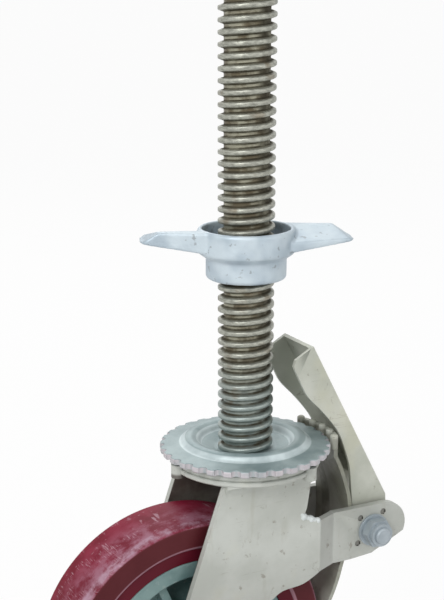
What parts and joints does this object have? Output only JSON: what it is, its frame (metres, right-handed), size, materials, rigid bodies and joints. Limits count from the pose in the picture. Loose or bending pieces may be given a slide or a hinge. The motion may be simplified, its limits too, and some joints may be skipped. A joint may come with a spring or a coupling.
{
  "type": "scaffold jack castor",
  "caption": "Adjustable castor: threaded jack stem with a winged cup nut, toothed swivel plate, pressed fork, braked polyurethane wheel.",
  "frame": {"origin": "centre of the toothed plate, level with the foot of its pressed ring, on the swivel axis at the foot of the jack screw", "axes": "+Z along the jack screw, upwards; the wheel trails towards -X; the axle lies along Y"},
  "size_m": [0.268, 0.1184, 0.6245],
  "materials": {
    "screw_steel": "rolled, dirty in the grooves",
    "galvanised": "hot dip galvanised casting",
    "zinc": "bright zinc plate",
    "fork_paint": "worn cream grey coating",
    "race_steel": "bearing steel",
    "tread": "scuffed polyurethane",
    "core": "moulded, matt"
  },
  "bodies": {
    "stem": {"jack_screw": "screw_steel", "top_plate": "zinc", "kingpin": "zinc", "upper_balls": "race_steel", "lower_balls": "race_steel", "lower_race": "zinc"},
    "nut": {"jack_nut": "galvanised"},
    "fork": {"fork": "fork_paint", "axle_sleeve": "zinc", "axle_bolt": "zinc", "axle_nut": "zinc", "axle_washers": "zinc", "axle_spacers": "zinc", "pivot_bolt": "zinc", "pivot_nut": "zinc", "pivot_sleeve": "zinc", "pivot_washers": "zinc"},
    "wheel": {"tyre": "tread", "wheel_core": "core", "bearing_near": "race_steel", "bearing_far": "race_steel", "bearing_spacer": "zinc"},
    "pedal": {"brake_pedal": "fork_paint"},
    "brake": {"brake_plate": "fork_paint"}
  },
  "joints": [
    {"name": "nut_travel", "type": "slide", "parent": "stem", "child": "nut", "axis": [0, 0, 1], "range_m": [-0.065, 0.2]},
    {"name": "swivel", "type": "hinge", "parent": "stem", "child": "fork", "pos_m": [0, 0, 0], "axis": [0, 0, 1], "continuous": true},
    {"name": "wheel_spin", "type": "hinge", "parent": "fork", "child": "wheel", "pos_m": [-0.05, 0, -0.1445], "axis": [0, 1, 0], "continuous": true},
    {"name": "pedal_turn", "type": "hinge", "parent": "fork", "child": "pedal", "pos_m": [0.09, 0, -0.074], "axis": [0, 1, 0], "range_deg": [0, 65]},
    {"name": "brake_slide", "type": "slide", "parent": "fork", "child": "brake", "axis": [-1, 0, 0], "range_m": [0, 0.0029]}
  ],
  "couplings": [
    {"joint": "brake_slide", "follows": "pedal_turn", "m_per_rad": 0.0025562}
  ]
}
